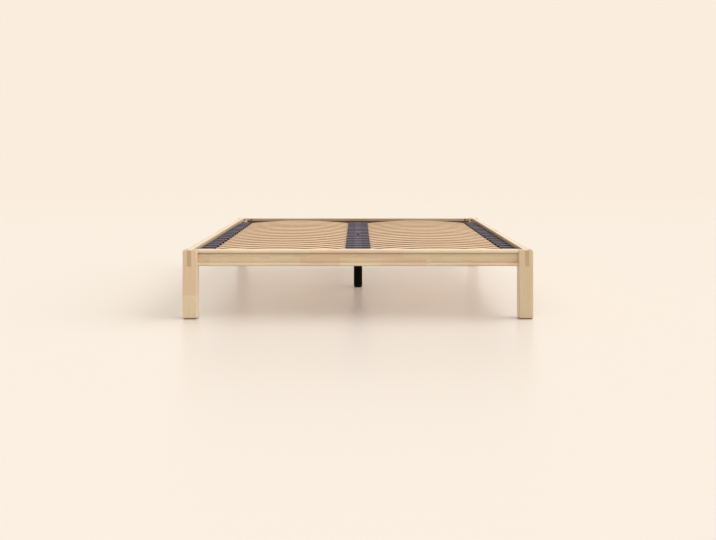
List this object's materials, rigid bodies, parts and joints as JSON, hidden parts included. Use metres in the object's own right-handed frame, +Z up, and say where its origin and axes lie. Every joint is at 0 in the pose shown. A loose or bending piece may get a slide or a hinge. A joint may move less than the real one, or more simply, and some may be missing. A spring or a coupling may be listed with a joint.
{
  "type": "double bed frame",
  "caption": "Low double bed frame in pale solid wood with moulded rails, square legs, bowed slats in rubber caps and a round adjustable centre leg.",
  "frame": {"origin": "on the floor under the centre of the bed", "axes": "+Y towards the head end, along the bed's length; +X to the right seen from the foot end; +Z up"},
  "size_m": [1.69, 2.148, 0.332],
  "materials": {
    "rail_wood": "matt oiled solid wood with finger joints",
    "batten_wood": "planed solid wood",
    "slat_ply": "smooth beech plywood",
    "cap_rubber": "dark navy moulded rubber",
    "zinc_steel": "zinc plated",
    "black_bolts": "black oxide",
    "black_steel": "satin black powder coat",
    "black_plastic": "moulded",
    "bright_stud": "bright zinc thread",
    "felt": "pressed brown felt"
  },
  "bodies": {
    "frame": {"barrel_nuts": "black_bolts", "beam_hangers": "zinc_steel", "centre_beam": "batten_wood", "centre_caps": "cap_rubber", "centre_leg": "black_steel", "foot_rail": "rail_wood", "frame_bolts": "black_bolts", "head_rail": "rail_wood", "ledger_left": "batten_wood", "ledger_right": "batten_wood", "leg_foot_left": "rail_wood", "leg_foot_right": "rail_wood", "leg_glides": "felt", "leg_head_left": "rail_wood", "leg_head_right": "rail_wood", "leg_plug": "black_plastic", "side_caps": "cap_rubber", "side_rail_left": "rail_wood", "side_rail_right": "rail_wood", "slat_left_01": "slat_ply", "slat_left_02": "slat_ply", "slat_left_03": "slat_ply", "slat_left_04": "slat_ply", "slat_left_05": "slat_ply", "slat_left_06": "slat_ply", "slat_left_07": "slat_ply", "slat_left_08": "slat_ply", "slat_left_09": "slat_ply", "slat_left_10": "slat_ply", "slat_left_11": "slat_ply", "slat_left_12": "slat_ply", "slat_left_13": "slat_ply", "slat_left_14": "slat_ply", "slat_left_15": "slat_ply", "slat_left_16": "slat_ply", "slat_left_17": "slat_ply", "slat_left_18": "slat_ply", "slat_left_19": "slat_ply", "slat_right_01": "slat_ply", "slat_right_02": "slat_ply", "slat_right_03": "slat_ply", "slat_right_04": "slat_ply", "slat_right_05": "slat_ply", "slat_right_06": "slat_ply", "slat_right_07": "slat_ply", "slat_right_08": "slat_ply", "slat_right_09": "slat_ply", "slat_right_10": "slat_ply", "slat_right_11": "slat_ply", "slat_right_12": "slat_ply", "slat_right_13": "slat_ply", "slat_right_14": "slat_ply", "slat_right_15": "slat_ply", "slat_right_16": "slat_ply", "slat_right_17": "slat_ply", "slat_right_18": "slat_ply", "slat_right_19": "slat_ply", "wood_screws": "zinc_steel"},
    "foot_pad": {"levelling_pad": "black_plastic"},
    "foot_stud": {"levelling_stud": "bright_stud"}
  },
  "joints": [
    {"name": "foot_height", "type": "slide", "parent": "frame", "child": "foot_pad", "axis": [0, 0, -1], "range_m": [0, 0.012]},
    {"name": "stud_turn", "type": "hinge", "parent": "foot_pad", "child": "foot_stud", "pos_m": [0, 0, 0.005], "axis": [0, 0, -1], "range_deg": [0, 2880]}
  ],
  "couplings": [
    {"joint": "stud_turn", "follows": "foot_height", "rad_per_m": 4188.8}
  ]
}
